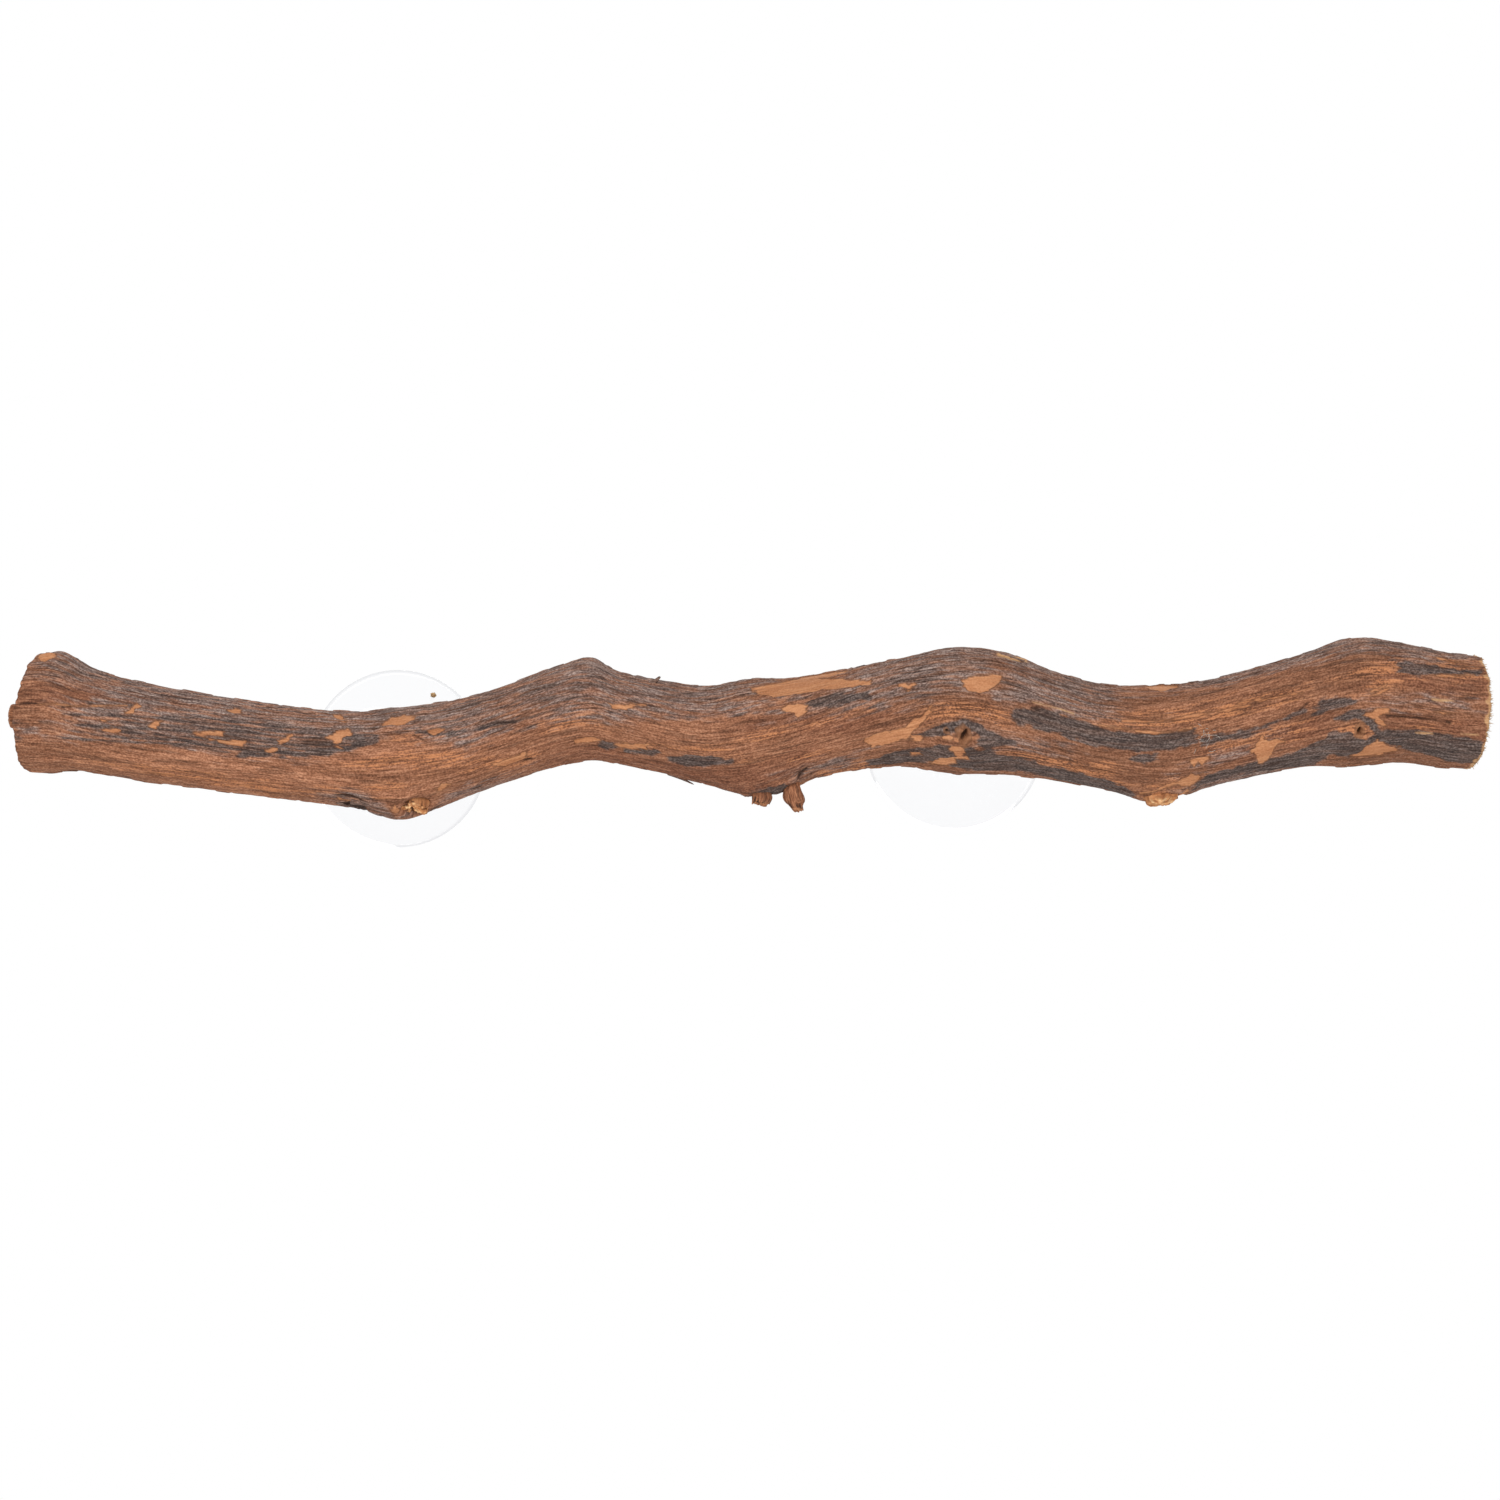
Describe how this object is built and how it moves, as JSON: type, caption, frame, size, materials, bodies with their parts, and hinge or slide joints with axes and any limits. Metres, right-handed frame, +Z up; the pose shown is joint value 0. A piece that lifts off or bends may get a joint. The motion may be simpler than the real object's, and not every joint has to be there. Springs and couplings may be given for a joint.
{
  "type": "reptile branch",
  "caption": "Wavy natural tree branch with rough red-brown bark and snapped side shoots, held to a terrarium's glass by clear suction cups behind it, as a climbing perch for reptiles.",
  "frame": {"origin": "on the glass, midway between the axes of the two suction cups", "axes": "+X along the branch, to the right as seen from inside the terrarium; +Y into the glass; +Z up"},
  "size_m": [0.395, 0.0444, 0.057],
  "materials": {
    "bark": "rough fibrous bark",
    "wood": "sawn and torn raw wood",
    "clear_pvc": "clear soft moulded PVC",
    "zinc": "bright zinc plate"
  },
  "bodies": {
    "branch": {"wood_core": "wood", "bark": "bark", "left_knot": "wood", "middle_stub_left": "wood", "middle_stub_right": "wood", "right_knot": "wood", "end_nub": "wood"},
    "left_stud": {"left_stud": "zinc"},
    "left_cup": {"left_suction_cup": "clear_pvc"},
    "right_stud": {"right_stud": "zinc"},
    "right_cup": {"right_suction_cup": "clear_pvc"}
  },
  "joints": [
    {"name": "left_cup_swivel", "type": "hinge", "parent": "branch", "child": "left_stud", "pos_m": [-0.07685, -0.0213, -0.00215], "axis": [0, 1, 0], "continuous": true},
    {"name": "left_cup_press", "type": "slide", "parent": "left_stud", "child": "left_cup", "axis": [0, -1, 0], "range_m": [0, 0.005], "stiffness_N_per_m": 2000, "deforming": ["left_suction_cup"]},
    {"name": "right_cup_swivel", "type": "hinge", "parent": "branch", "child": "right_stud", "pos_m": [0.07685, -0.0213, 0.00215], "axis": [0, 1, 0], "continuous": true},
    {"name": "right_cup_press", "type": "slide", "parent": "right_stud", "child": "right_cup", "axis": [0, -1, 0], "range_m": [0, 0.005], "stiffness_N_per_m": 2000, "deforming": ["right_suction_cup"]}
  ]
}
